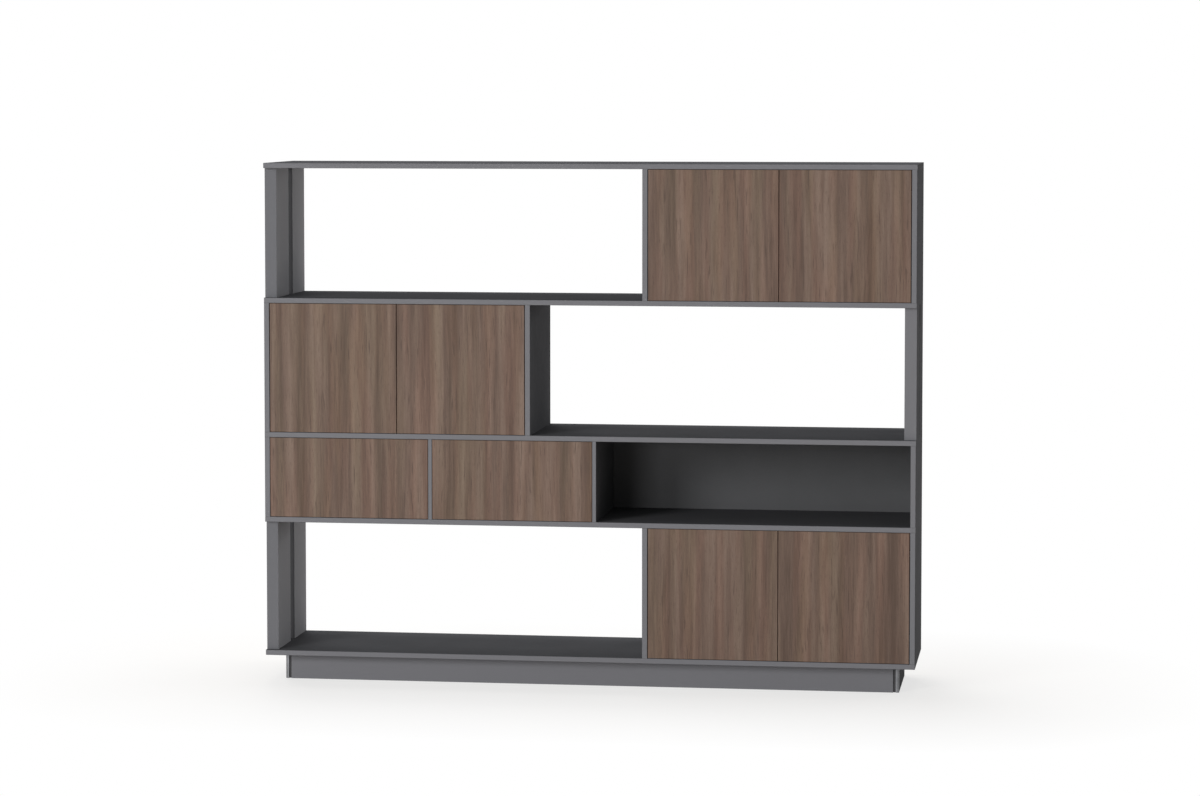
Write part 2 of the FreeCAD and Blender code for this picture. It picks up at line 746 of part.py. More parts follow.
def check_and_export():
    """Stop at a failed feature or a bad solid, and otherwise write one file for each node."""
    doc.recompute()
    for piece in doc.Objects:
        if "Invalid" in piece.State or "Error" in piece.State:
            raise RuntimeError(f"{piece.Label} failed: {piece.State}")
    for label, piece in nodes.items():
        if piece.Shape.isNull() or not piece.Shape.isValid():
            raise RuntimeError(f"{label} has no valid shape")
    os.makedirs("parts", exist_ok=True)
    for label, piece in nodes.items():
        piece.Shape.exportStep(f"parts/{label}.step")
    print(f"{len(nodes)} nodes written")


carcass()
posts()
plinth()
cupboard_fittings()
drawers()
check_and_export()
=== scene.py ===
import json
import math

import bmesh
import bpy
from mathutils import Matrix, Quaternion, Vector


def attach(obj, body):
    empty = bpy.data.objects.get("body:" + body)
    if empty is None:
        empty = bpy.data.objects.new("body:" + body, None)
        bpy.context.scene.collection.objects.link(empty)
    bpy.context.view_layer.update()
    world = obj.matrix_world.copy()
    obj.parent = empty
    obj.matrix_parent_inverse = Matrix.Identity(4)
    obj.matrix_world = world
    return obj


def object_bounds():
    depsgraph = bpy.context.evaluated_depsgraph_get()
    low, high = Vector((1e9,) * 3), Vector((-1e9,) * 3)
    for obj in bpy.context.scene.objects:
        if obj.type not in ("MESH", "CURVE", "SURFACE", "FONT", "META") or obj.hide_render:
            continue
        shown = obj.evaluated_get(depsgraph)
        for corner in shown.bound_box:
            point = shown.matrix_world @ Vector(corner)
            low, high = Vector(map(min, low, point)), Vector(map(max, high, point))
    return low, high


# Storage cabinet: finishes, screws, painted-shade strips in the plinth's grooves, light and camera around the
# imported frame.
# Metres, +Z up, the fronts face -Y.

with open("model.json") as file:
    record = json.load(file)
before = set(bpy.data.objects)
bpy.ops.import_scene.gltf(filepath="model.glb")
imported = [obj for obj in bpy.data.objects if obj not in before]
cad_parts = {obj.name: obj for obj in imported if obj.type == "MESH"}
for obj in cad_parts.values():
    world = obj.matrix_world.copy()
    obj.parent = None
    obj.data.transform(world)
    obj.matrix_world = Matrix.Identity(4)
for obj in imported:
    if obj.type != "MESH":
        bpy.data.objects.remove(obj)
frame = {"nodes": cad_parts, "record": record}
cad_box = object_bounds()
scene = bpy.context.scene
MM = 0.001

# Colours, linear.
MELAMINE_GREY = (0.094, 0.095, 0.101)
MELAMINE_SHADE = (0.088, 0.089, 0.0945)
MELAMINE_SPECK = (0.26, 0.26, 0.265)
# Paler edges of the melamine: rubbed wear and a painted highlight.
MELAMINE_WEAR_AND_HIGHLIGHT = (0.27, 0.27, 0.275)
EDGE_BAND_GREY = (0.183, 0.184, 0.198)
POST_GREY = (0.152, 0.154, 0.166)
# Painted light: a paler grey on the left posts' sides towards the bay, standing in for light falling there.
POST_SIDE_PAINTED_LIGHT = (0.290, 0.290, 0.305)
BACK_PANEL_GREY = (0.096, 0.097, 0.101)
BACK_PANEL_SHADE = (0.090, 0.091, 0.0947)
DRAWER_BOX_GREY = (0.27, 0.27, 0.275)
DRAWER_BOX_SHADE = (0.24, 0.24, 0.245)
WOOD_DARK = (0.090, 0.0583, 0.0438)
WOOD_MIDDLE = (0.140, 0.0936, 0.0714)
WOOD_LIGHT = (0.199, 0.140, 0.1085)
WOOD_PORE = (0.0735, 0.0475, 0.0360)
WOOD_RED_TINT = (1.05, 0.97, 0.95)
WOOD_OLIVE_TINT = (0.98, 1.015, 0.95)
NICKEL = (0.62, 0.61, 0.59)
ZINC = (0.52, 0.54, 0.57)
ANODISED = (0.17, 0.172, 0.18)
LATCH_BLACK = (0.030, 0.030, 0.032)
PLUNGER_GREY = (0.36, 0.36, 0.37)
# Painted shade: near-black for strips that stand in for the shadow in the plinth's grooves.
GROOVE_PAINTED_SHADE = (0.028, 0.027, 0.030)
FLOOR_PALE = (0.83, 0.79, 0.74)
WHITE = (1.0, 1.0, 1.0)

# Sockets of the Mix node when it mixes colours.
MIX_FACTOR, MIX_FIRST, MIX_SECOND, MIX_RESULT = 0, 6, 7, 2

# Spans that a noise's values are stretched from: the narrow one gives the stronger contrast.
NOISE_WIDE = (0.30, 0.70)
NOISE_NARROW = (0.35, 0.65)


def new_finish(name):
    """An empty material with its shader: returns the material, its tree and the shader."""
    finish = bpy.data.materials.new(name)
    finish.use_nodes = True
    tree = finish.node_tree
    return finish, tree, tree.nodes["Principled BSDF"]


def node(tree, kind, feeds=None, **settings):
    """A node with its settings, whose inputs are set to values or linked from sockets."""
    made = tree.nodes.new(kind)
    for setting, value in settings.items():
        setattr(made, setting, value)
    for key, feed in (feeds or {}).items():
        if isinstance(feed, bpy.types.NodeSocket):
            tree.links.new(feed, made.inputs[key])
        else:
            made.inputs[key].default_value = feed
    return made


def object_place(tree):
    """Coordinates fixed to the piece."""
    return node(tree, "ShaderNodeTexCoord").outputs["Object"]


def math_node(tree, operation, *values):
    """One step of arithmetic on values or sockets."""
    return node(tree, "ShaderNodeMath", dict(enumerate(values)), operation=operation).outputs["Value"]


def vector_node(tree, operation, *vectors):
    """One step of arithmetic on vectors: returns the node, whose result is a vector or a value."""
    return node(tree, "ShaderNodeVectorMath", dict(enumerate(vectors)), operation=operation)


def rescaled(tree, value, span, to_span=(0.0, 1.0)):
    """A value taken from one span to another and held within it."""
    feeds = {"Value": value, "From Min": span[0], "From Max": span[1],
             "To Min": to_span[0], "To Max": to_span[1]}
    return node(tree, "ShaderNodeMapRange", feeds).outputs["Result"]


def opaque(colour):
    """A written colour with its alpha; a socket is passed on as it is."""
    return (*colour, 1.0) if isinstance(colour, tuple) else colour


def toned(colour, share):
    """A written colour made darker or paler, and held at white."""
    return tuple(min(1.0, share * part) for part in colour)


def mixed(tree, factor, first, second, blend="MIX"):
    """Two colours mixed by a factor."""
    feeds = {MIX_FACTOR: factor, MIX_FIRST: opaque(first), MIX_SECOND: opaque(second)}
    return node(tree, "ShaderNodeMix", feeds, data_type="RGBA", blend_type=blend).outputs[MIX_RESULT]


def stretched_noise(tree, place, cells, detail=2.0, roughness=0.5, offset=(0.0, 0.0, 0.0)):
    """Noise with its own number of cells to the metre along X, Y and Z."""
    mapped = node(tree, "ShaderNodeMapping", {"Vector": place, "Scale": cells, "Location": offset})
    feeds = {"Vector": mapped.outputs["Vector"], "Scale": 1.0, "Detail": detail, "Roughness": roughness}
    return node(tree, "ShaderNodeTexNoise", feeds).outputs["Fac"]


def even_noise(tree, place, cells, detail=2.0):
    """Noise with the same number of cells to the metre all ways."""
    return stretched_noise(tree, place, (cells, cells, cells), detail)


def bump(tree, height, strength, depth):
    """A normal with the relief of a height."""
    feeds = {"Height": height, "Strength": strength, "Distance": depth}
    return node(tree, "ShaderNodeBump", feeds).outputs["Normal"]


def link_surface(tree, shader, colour, roughness, normal):
    """Lead what varies over the surface to the shader."""
    tree.links.new(colour, shader.inputs["Base Color"])
    tree.links.new(roughness, shader.inputs["Roughness"])
    tree.links.new(normal, shader.inputs["Normal"])


# Cosines, between a rounded and a flat normal, from which an edge starts to look rubbed and highlit, and is
# fully so: wear and a painted highlight.
WEAR_AND_HIGHLIGHT_COSINES = (0.99, 0.78)
WEAR_AND_HIGHLIGHT_SAMPLES = 6


def wear_and_highlight(tree, colour, bare_and_highlit, arris, share):
    """A colour that goes over to a barer, paler one, by up to a share, along the piece's outer edges: rubbed
    wear and a painted highlight.
    """
    rounded = node(tree, "ShaderNodeBevel", {"Radius": arris}, samples=WEAR_AND_HIGHLIGHT_SAMPLES).outputs["Normal"]
    flat = node(tree, "ShaderNodeNewGeometry").outputs["Normal"]
    cosine = vector_node(tree, "DOT_PRODUCT", rounded, flat).outputs["Value"]
    worn_and_highlit = math_node(tree, "MULTIPLY", rescaled(tree, cosine, WEAR_AND_HIGHLIGHT_COSINES), share)
    return mixed(tree, worn_and_highlit, colour, bare_and_highlit)


# Cosines between which a face starts to count as looking along an axis, or against it.
ALONG_AXIS = (0.80, 0.95)
AGAINST_AXIS = (-0.80, -0.95)

# Depths, measured from the cabinet's middle, past which an edge counts as a front or a rear one.
FRONT_EDGE_DEPTH = (-0.10, -0.12)
REAR_EDGE_DEPTH = (0.15, 0.17)


def facing(tree, axis, cosines):
    """1 on faces that look one way along an axis of the piece and 0 elsewhere."""
    normal = node(tree, "ShaderNodeTexCoord").outputs["Normal"]
    along = node(tree, "ShaderNodeSeparateXYZ", {"Vector": normal}).outputs[axis]
    return rescaled(tree, along, cosines)


def banded_edge(tree, place):
    """1 on the edges at the cabinet's front and rear, where the banding is, and 0 elsewhere.

    The plinth's front and rear lie deep enough to count as edges too.
    """
    depth = node(tree, "ShaderNodeSeparateXYZ", {"Vector": place}).outputs["Y"]
    edges = []
    for cosines, reach in ((AGAINST_AXIS, FRONT_EDGE_DEPTH), (ALONG_AXIS, REAR_EDGE_DEPTH)):
        edges.append(math_node(tree, "MULTIPLY", facing(tree, "Y", cosines), rescaled(tree, depth, reach)))
    return math_node(tree, "MAXIMUM", *edges)


# Melamine: clouds and pressed grit in cells to the metre. A relief is a bump's strength and depth.
MELAMINE_CLOUDS = 7.0
MELAMINE_GRIT = 1400.0
MELAMINE_SPECK_SPAN = (0.56, 0.72)
MELAMINE_SPECK_SHARE = 0.09
MELAMINE_ARRIS = 0.6 * MM
MELAMINE_WEAR_AND_HIGHLIGHT_SHARE = 0.35
MELAMINE_ROUGHNESS = (0.66, 0.78)
MELAMINE_SPECULAR = 0.0
MELAMINE_RELIEF = (0.06, 0.04 * MM)


def melamine_finish(name, base, shade, band, side=None):
    """Matt grey melamine on board: faint clouds, a fine pressed grit and banded front and rear edges."""
    finish, tree, shader = new_finish(name)
    place = object_place(tree)
    clouds = even_noise(tree, place, MELAMINE_CLOUDS, detail=3.0)
    grit = even_noise(tree, place, MELAMINE_GRIT, detail=1.0)
    colour = mixed(tree, rescaled(tree, clouds, NOISE_NARROW), shade, base)
    colour = mixed(tree, banded_edge(tree, place), colour, band)
    # Painted light: faces that look along +X take the paler side colour, as if lit.
    if side:
        colour = mixed(tree, facing(tree, "X", ALONG_AXIS), colour, side)
    specks = rescaled(tree, grit, MELAMINE_SPECK_SPAN, (0.0, MELAMINE_SPECK_SHARE))
    colour = mixed(tree, specks, colour, MELAMINE_SPECK)
    # The edges go paler: rubbed wear and a painted highlight.
    colour = wear_and_highlight(tree, colour, MELAMINE_WEAR_AND_HIGHLIGHT, MELAMINE_ARRIS, MELAMINE_WEAR_AND_HIGHLIGHT_SHARE)
    roughness = rescaled(tree, clouds, NOISE_WIDE, MELAMINE_ROUGHNESS)
    link_surface(tree, shader, colour, roughness, bump(tree, grit, *MELAMINE_RELIEF))
    shader.inputs["Specular IOR Level"].default_value = MELAMINE_SPECULAR
    return finish


def carcass_finish():
    """Boards, dividers, ends, right posts and plinth: dark faces and paler banded edges."""
    return melamine_finish("grey_melamine", MELAMINE_GREY, MELAMINE_SHADE, EDGE_BAND_GREY)


def left_post_painted_light_finish():
    """Left posts: a darker band than the boards have, and painted light: paler sides towards the bay, as if
    lit there.
    """
    return melamine_finish("left_post_melamine_painted_light", MELAMINE_GREY, MELAMINE_SHADE, POST_GREY, POST_SIDE_PAINTED_LIGHT)


def back_panel_finish():
    """Backs: thin board, whose edges have the colour of its faces."""
    return melamine_finish("back_panel_melamine", BACK_PANEL_GREY, BACK_PANEL_SHADE, BACK_PANEL_GREY)


def drawer_box_finish():
    """Drawer sides, backs and bottoms: mid-grey all over."""
    return melamine_finish("drawer_box_melamine", DRAWER_BOX_GREY, DRAWER_BOX_SHADE, DRAWER_BOX_GREY)


# Wood decor: the slow sway of its lines, where the grain starts, and the layers of the grain itself.
# Cells are to the metre, across the upright grain and along it. Offsets keep the layers from lining up.
WOOD_SWAY = (5.0, 5.0, 2.2)
WOOD_SWAY_REACH = 14 * MM
WOOD_GRAIN_START = 0.5
WOOD_LAYERS = {
    "bands": {"cells": (34.0, 34.0, 1.0), "detail": 1.5},
    "streaks": {"cells": (125.0, 125.0, 6.0), "detail": 2.0, "offset": (3.0, 1.0, 7.0)},
    "fibres": {"cells": (620.0, 620.0, 20.0), "detail": 2.0, "roughness": 0.6},
    "red": {"cells": (26.0, 26.0, 1.6), "detail": 1.0, "offset": (9.0, 4.0, 2.0)},
    "olive": {"cells": (22.0, 22.0, 1.4), "detail": 1.0, "offset": (2.0, 8.0, 5.0)},
    "flecks": {"cells": (240.0, 240.0, 13.0), "detail": 1.0, "offset": (11.0, 6.0, 3.0)},
    "pores": {"cells": (900.0, 900.0, 55.0), "detail": 1.0, "offset": (5.0, 2.0, 0.0)},
}
WOOD_MIDDLE_STOP = 0.5
WOOD_BAND_SHARE = 0.54
WOOD_STREAK_SHARE = 0.30
WOOD_FIBRE_SHARE = 0.16
WOOD_RED_SPAN = (0.42, 0.62)
WOOD_OLIVE_SPAN = (0.45, 0.65)
WOOD_FLECK_SPAN = (0.63, 0.73)
WOOD_FLECK_SHARE = 0.6
WOOD_PORE_SPAN = (0.60, 0.72)
WOOD_PORE_SHARE = 0.5
WOOD_ARRIS = 0.5 * MM
WOOD_WEAR_AND_HIGHLIGHT_SHARE = 0.25
WOOD_ROUGHNESS = (0.50, 0.62)
WOOD_SPECULAR = 0.2
WOOD_RELIEF = (0.2, 0.12 * MM)


def swaying_place(tree):
    """Coordinates fixed to the piece, moved to and fro so that upright lines sway."""
    place = object_place(tree)
    sway = stretched_noise(tree, place, WOOD_SWAY, detail=1.0)
    lean = math_node(tree, "MULTIPLY_ADD", sway, WOOD_SWAY_REACH, WOOD_GRAIN_START)
    shift = node(tree, "ShaderNodeCombineXYZ", {"X": lean, "Y": lean}).outputs["Vector"]
    return vector_node(tree, "ADD", place, shift).outputs["Vector"]


def wood_tone(tree, layers):
    """The brown of the wood from dark to light: broad bands, streaks in them and fibres in those."""
    tone = math_node(tree, "MULTIPLY", layers["bands"], WOOD_BAND_SHARE)
    tone = math_node(tree, "MULTIPLY_ADD", layers["streaks"], WOOD_STREAK_SHARE, tone)
    tone = math_node(tree, "MULTIPLY_ADD", layers["fibres"], WOOD_FIBRE_SHARE, tone)
    ramp = node(tree, "ShaderNodeValToRGB", {"Fac": rescaled(tree, tone, NOISE_NARROW)})
    stops = ramp.color_ramp.elements
    stops[0].color = opaque(WOOD_DARK)
    stops[1].color = opaque(WOOD_LIGHT)
    stops.new(WOOD_MIDDLE_STOP).color = opaque(WOOD_MIDDLE)
    return ramp.outputs["Color"]


def wood_front_finish():
    """Doors and drawer fronts: brown wood decor with an upright grain, dark flecks and pores."""
    finish, tree, shader = new_finish("brown_wood_decor")
    grain_place = swaying_place(tree)
    layers = {name: stretched_noise(tree, grain_place, **layer) for name, layer in WOOD_LAYERS.items()}
    colour = wood_tone(tree, layers)
    reddish = rescaled(tree, layers["red"], WOOD_RED_SPAN)
    colour = mixed(tree, reddish, colour, WOOD_RED_TINT, "MULTIPLY")
    olive = rescaled(tree, layers["olive"], WOOD_OLIVE_SPAN)
    colour = mixed(tree, olive, colour, WOOD_OLIVE_TINT, "MULTIPLY")
    flecks = rescaled(tree, layers["flecks"], WOOD_FLECK_SPAN, (0.0, WOOD_FLECK_SHARE))
    colour = mixed(tree, flecks, colour, WOOD_PORE)
    pores = rescaled(tree, layers["pores"], WOOD_PORE_SPAN)
    colour = mixed(tree, math_node(tree, "MULTIPLY", pores, WOOD_PORE_SHARE), colour, WOOD_PORE)
    # The edges go paler: rubbed wear and a painted highlight.
    colour = wear_and_highlight(tree, colour, WOOD_LIGHT, WOOD_ARRIS, WOOD_WEAR_AND_HIGHLIGHT_SHARE)
    roughness = rescaled(tree, layers["fibres"], NOISE_WIDE, WOOD_ROUGHNESS)
    height = math_node(tree, "SUBTRACT", layers["fibres"], pores)
    link_surface(tree, shader, colour, roughness, bump(tree, height, *WOOD_RELIEF))
    shader.inputs["Specular IOR Level"].default_value = WOOD_SPECULAR
    return finish


# Metal: its dull spots and its brighter edges (rubbed wear and a painted highlight) as shares of its colour,
# and how far its roughness swings.
METAL_DULL = 0.78
METAL_WEAR_AND_HIGHLIGHT = 1.25
METAL_ARRIS = 0.4 * MM
METAL_WEAR_AND_HIGHLIGHT_SHARE = 0.6
METAL_ROUGHNESS_SWING = (-0.07, 0.09)
METAL_RELIEF = (0.08, 0.03 * MM)


def metal_finish(name, colour, brush_cells, spot_cells, roughness):
    """Plated or anodised metal with fine brush lines, faint dull spots and brighter edges: rubbed wear and a
    painted highlight.
    """
    finish, tree, shader = new_finish(name)
    place = object_place(tree)
    lines = stretched_noise(tree, place, brush_cells, detail=2.0, roughness=0.6)
    spots = even_noise(tree, place, spot_cells, detail=2.0)
    spotted = mixed(tree, rescaled(tree, spots, NOISE_NARROW), toned(colour, METAL_DULL), colour)
    edged = wear_and_highlight(tree, spotted, toned(colour, METAL_WEAR_AND_HIGHLIGHT), METAL_ARRIS, METAL_WEAR_AND_HIGHLIGHT_SHARE)
    swing = [roughness + part for part in METAL_ROUGHNESS_SWING]
    uneven = rescaled(tree, lines, NOISE_WIDE, swing)
    link_surface(tree, shader, edged, uneven, bump(tree, lines, *METAL_RELIEF))
    shader.inputs["Metallic"].default_value = 1.0
    return finish


def hinge_metal_finish():
    """Hinge cups, arms and plates: nickel, with short lines from front to back."""
    return metal_finish("nickel_plate", NICKEL,
                        brush_cells=(900.0, 250.0, 900.0), spot_cells=60.0, roughness=0.40)


def runner_steel_finish():
    """Runner members: zinc, with long lines from front to back."""
    return metal_finish("zinc_plate", ZINC,
                        brush_cells=(900.0, 30.0, 900.0), spot_cells=45.0, roughness=0.36)


def corner_profile_finish():
    """Corner profiles of the plinth: grey anodised, with long upright lines."""
    return metal_finish("satin_anodised", ANODISED,
                        brush_cells=(1100.0, 1100.0, 25.0), spot_cells=30.0, roughness=0.42)


def screw_finish():
    """Screw heads: zinc, smoother than the runners and with no direction."""
    return metal_finish("screw_steel", ZINC,
                        brush_cells=(700.0, 700.0, 700.0), spot_cells=220.0, roughness=0.28)


# Plastic: its grain and flow marks in cells to the metre, and its pale places as a share of its colour.
PLASTIC_GRAIN = 1900.0
PLASTIC_FLOW = 35.0
PLASTIC_PALE = 1.3
PLASTIC_FLOW_SHARE = 0.35
PLASTIC_ARRIS = 0.5 * MM
PLASTIC_WEAR_AND_HIGHLIGHT_SHARE = 0.4
PLASTIC_ROUGHNESS_SWING = (-0.06, 0.08)
PLASTIC_RELIEF = (0.2, 0.05 * MM)


def plastic_finish(name, colour, roughness):
    """Moulded plastic with a fine spark-eroded grain, faint flow marks and paler edges: rubbed wear and a
    painted highlight.
    """
    finish, tree, shader = new_finish(name)
    place = object_place(tree)
    grain = even_noise(tree, place, PLASTIC_GRAIN, detail=1.0)
    flow = even_noise(tree, place, PLASTIC_FLOW, detail=2.0)
    pale = toned(colour, PLASTIC_PALE)
    marked = mixed(tree, rescaled(tree, flow, NOISE_NARROW, (0.0, PLASTIC_FLOW_SHARE)), colour, pale)
    edged = wear_and_highlight(tree, marked, pale, PLASTIC_ARRIS, PLASTIC_WEAR_AND_HIGHLIGHT_SHARE)
    swing = [roughness + part for part in PLASTIC_ROUGHNESS_SWING]
    uneven = rescaled(tree, grain, NOISE_WIDE, swing)
    link_surface(tree, shader, edged, uneven, bump(tree, grain, *PLASTIC_RELIEF))
    return finish


def latch_body_finish():
    """Housings of the push latches."""
    return plastic_finish("latch_black_plastic", LATCH_BLACK, roughness=0.5)


def latch_plunger_finish():
    """Plungers of the push latches."""
    return plastic_finish("plunger_grey_plastic", PLUNGER_GREY, roughness=0.42)


def groove_painted_shade_finish():
    """Painted shade: dark strips in the grooves of the plinth's corner profiles, standing in for their
    shadow.
    """
    return plastic_finish("groove_painted_shade", GROOVE_PAINTED_SHADE, roughness=0.6)


def dress_frame():
    """Give every CAD node the finish of its material slot, and the left posts their own, with painted light
    on their sides.
    """
    finishes = {
        "carcass": carcass_finish(),
        "back_panel": back_panel_finish(),
        "wood_front": wood_front_finish(),
        "drawer_box": drawer_box_finish(),
        "corner_profile": corner_profile_finish(),
        "hinge_metal": hinge_metal_finish(),
        "runner_steel": runner_steel_finish(),
        "latch_body": latch_body_finish(),
        "latch_plunger": latch_plunger_finish(),
    }
    left_posts = left_post_painted_light_finish()
    for subpart in frame["record"]["subparts"]:
        mesh = frame["nodes"][subpart["node"]].data
        mesh.materials.clear()
        is_left_post = subpart["node"].endswith("_left_posts")
        mesh.materials.append(left_posts if is_left_post else finishes[subpart["material_slot"]])


# Points of a node's mesh that lie closer than this are one. Solids are sorted by corners with so many digits.
SAME_POINT = 0.001 * MM
SORTED_DIGITS = 6


def solid_boxes(node_name):
    """Lowest and highest corner of each separate solid of a CAD node, from left to right."""
    mesh = bmesh.new()
    mesh.from_mesh(frame["nodes"][node_name].data)
    bmesh.ops.remove_doubles(mesh, verts=mesh.verts, dist=SAME_POINT)
    waiting = set(mesh.verts)
    boxes = []
    while waiting:
        island = [waiting.pop()]
        for vertex in island:
            for edge in vertex.link_edges:
                neighbour = edge.other_vert(vertex)
                if neighbour in waiting:
                    waiting.remove(neighbour)
                    island.append(neighbour)
        low = Vector([min(vertex.co[axis] for vertex in island) for axis in range(3)])
        high = Vector([max(vertex.co[axis] for vertex in island) for axis in range(3)])
        boxes.append((low, high))
    mesh.free()
    return sorted(boxes, key=lambda box: tuple(round(part, SORTED_DIGITS) for part in box[0]))


# Screw heads: the rim's sides, the crown's taper, the other sizes as shares of the head's radius, and the
# turn from each screw to the next.
SCREW_SIDES = 20
SCREW_CROWN_TAPER = 0.68
SCREW_RECESS_LENGTH = 1.15
SCREW_SHARES = {"Rim Height": 0.16, "Crown Height": 0.24, "Recess Width": 0.22}
SCREW_ROLL = math.radians(67)


def screw_tree():
    """Geometry Nodes: a cross-recessed screw head on every point, turned as the point says."""
    tree = bpy.data.node_groups.new("cross_head_screws", "GeometryNodeTree")
    tree.interface.new_socket("Geometry", in_out="INPUT", socket_type="NodeSocketGeometry")
    for name in ("Head Radius", *SCREW_SHARES):
        tree.interface.new_socket(name, in_out="INPUT", socket_type="NodeSocketFloat")
    tree.interface.new_socket("Finish", in_out="INPUT", socket_type="NodeSocketMaterial")
    tree.interface.new_socket("Geometry", in_out="OUTPUT", socket_type="NodeSocketGeometry")
    given = node(tree, "NodeGroupInput").outputs
    radius = given["Head Radius"]
    # The cylinder's middle lies on the face, so half of it is sunk.
    rim_depth = math_node(tree, "MULTIPLY", given["Rim Height"], 2.0)
    rim = node(tree, "GeometryNodeMeshCylinder",
               {"Vertices": SCREW_SIDES, "Radius": radius, "Depth": rim_depth})
    crown = node(tree, "GeometryNodeExtrudeMesh",
                 {"Mesh": rim.outputs["Mesh"], "Selection": rim.outputs["Top"],
                  "Offset Scale": given["Crown Height"], "Individual": False})
    domed = node(tree, "GeometryNodeScaleElements",
                 {"Geometry": crown.outputs["Mesh"], "Selection": crown.outputs["Top"],
                  "Scale": SCREW_CROWN_TAPER})
    head = domed.outputs["Geometry"]
    top = math_node(tree, "ADD", given["Rim Height"], given["Crown Height"])
    length = math_node(tree, "MULTIPLY", radius, SCREW_RECESS_LENGTH)
    lift = node(tree, "ShaderNodeCombineXYZ", {"Z": top}).outputs["Vector"]
    for along, across in (("X", "Y"), ("Y", "X")):
        size = node(tree, "ShaderNodeCombineXYZ", {along: length, across: given["Recess Width"], "Z": top})
        bar = node(tree, "GeometryNodeMeshCube", {"Size": size.outputs["Vector"]})
        raised = node(tree, "GeometryNodeTransform", {"Geometry": bar.outputs["Mesh"], "Translation": lift})
        cut = node(tree, "GeometryNodeMeshBoolean", {"Mesh 1": head, "Mesh 2": raised.outputs["Geometry"]},
                   operation="DIFFERENCE", solver="EXACT")
        head = cut.outputs["Mesh"]
    turn = node(tree, "GeometryNodeInputNamedAttribute", {"Name": "turn"}, data_type="FLOAT_VECTOR")
    rotation = node(tree, "FunctionNodeEulerToRotation", {"Euler": turn.outputs["Attribute"]})
    spread = node(tree, "GeometryNodeInstanceOnPoints",
                  {"Points": given["Geometry"], "Instance": head, "Rotation": rotation.outputs["Rotation"]})
    real = node(tree, "GeometryNodeRealizeInstances", {"Geometry": spread.outputs["Instances"]})
    plated = node(tree, "GeometryNodeSetMaterial",
                  {"Geometry": real.outputs["Geometry"], "Material": given["Finish"]})
    node(tree, "NodeGroupOutput", {"Geometry": plated.outputs["Geometry"]})
    return tree


SCREW_TREE = screw_tree()
SCREW_FINISH = screw_finish()


def screws(name, body, spots, radius):
    """Screw heads on a body: each spot is a point on a face and the way that the face looks."""
    mesh = bpy.data.meshes.new(name)
    mesh.from_pydata([point for point, outward in spots], [], [])
    turns = mesh.attributes.new("turn", "FLOAT_VECTOR", "POINT")
    for number, (point, outward) in enumerate(spots):
        roll = Quaternion((0.0, 0.0, 1.0), number * SCREW_ROLL)
        turns.data[number].vector = (Vector(outward).to_track_quat("Z", "Y") @ roll).to_euler()
    piece = bpy.data.objects.new(name, mesh)
    scene.collection.objects.link(piece)
    settings = {"Head Radius": radius, "Finish": SCREW_FINISH}
    settings.update({size: share * radius for size, share in SCREW_SHARES.items()})
    modifier = piece.modifiers.new("heads", "NODES")
    modifier.node_group = SCREW_TREE
    for socket in SCREW_TREE.interface.items_tree:
        if socket.name in settings:
            modifier[socket.identifier] = settings[socket.name]
    graph = bpy.context.evaluated_depsgraph_get()
    piece.data = bpy.data.meshes.new_from_object(piece.evaluated_get(graph), depsgraph=graph)
    piece.modifiers.clear()
    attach(piece, body)


# Fittings' own sizes, as they are in the frame, and the radii of their screws' heads.
CUP_SCREW_SPACING = 48 * MM
CUP_SCREW_RADIUS = 3.6 * MM
PLATE_SCREW_INSET = 7 * MM
PLATE_SCREW_RADIUS = 3.6 * MM
ARM_CREST_RISE = 9 * MM
ARM_SCREW_INSETS = (10 * MM, 27 * MM)
ARM_SCREW_RADIUS = 3.0 * MM
LATCH_EAR_THICKNESS = 3 * MM
LATCH_EAR_INSET = 4.5 * MM
LATCH_SCREW_RADIUS = 3.0 * MM
RUNNER_SCREW_INSETS = (36 * MM, 164 * MM, 292 * MM)
RUNNER_SCREW_RADIUS = 3.2 * MM
RUNNER_SHEET = 1.2 * MM
GROOVE_ALONG = (10.2 * MM, 17.8 * MM)
GROOVE_STRIP_DEPTH = (5 * MM, 6 * MM)
GROOVE_END_PLAY = 0.3 * MM

# Ways that a face can look.
TO_THE_LEFT = (-1.0, 0.0, 0.0)
TO_THE_RIGHT = (1.0, 0.0, 0.0)
TO_THE_BACK = (0.0, 1.0, 0.0)
DOWN = (0.0, 0.0, -1.0)


def cup_screws():
    """Two screws through the wings of each hinge cup into the door."""
    for body, members in frame["record"]["behaviour"]["bodies"].items():
        cups = f"{body.removesuffix('_door')}_hinge_cups"
        if cups not in members:
            continue
        spots = []
        for low, high in solid_boxes(cups):
            middle = (low + high) / 2
            # The cups are taller than the screws' spacing, the pins in them are shorter.
            if high.z - low.z > CUP_SCREW_SPACING:
                for side in (-CUP_SCREW_SPACING / 2, CUP_SCREW_SPACING / 2):
                    spots.append(((middle.x, high.y, middle.z + side), TO_THE_BACK))
        screws(f"{body}_cup_screws", body, spots, CUP_SCREW_RADIUS)


